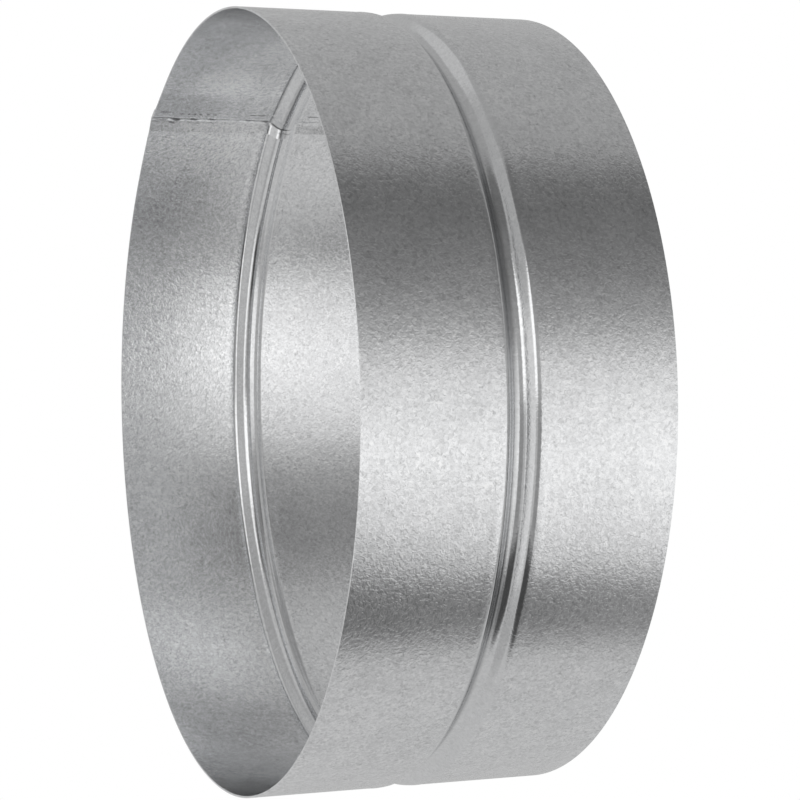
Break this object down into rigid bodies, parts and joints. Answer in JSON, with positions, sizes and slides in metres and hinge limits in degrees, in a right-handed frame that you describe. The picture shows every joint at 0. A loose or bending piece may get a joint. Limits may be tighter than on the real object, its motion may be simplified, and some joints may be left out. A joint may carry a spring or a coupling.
{
  "type": "round duct connector",
  "caption": "Short round galvanised sheet-steel sleeve that joins two ends of ventilation duct, with an inward stop bead at mid-length and a lapped, welded seam.",
  "frame": {"origin": "centre of the lower rim's plane, on the duct axis", "axes": "+Z along the duct axis, +X towards the welded seam"},
  "size_m": [0.2031, 0.2014, 0.078],
  "materials": {
    "galvanised_sheet": "matt galvanised steel with a fine mottled zinc grain"
  },
  "bodies": {
    "root": {"connector_ring": "galvanised_sheet"}
  },
  "joints": []
}
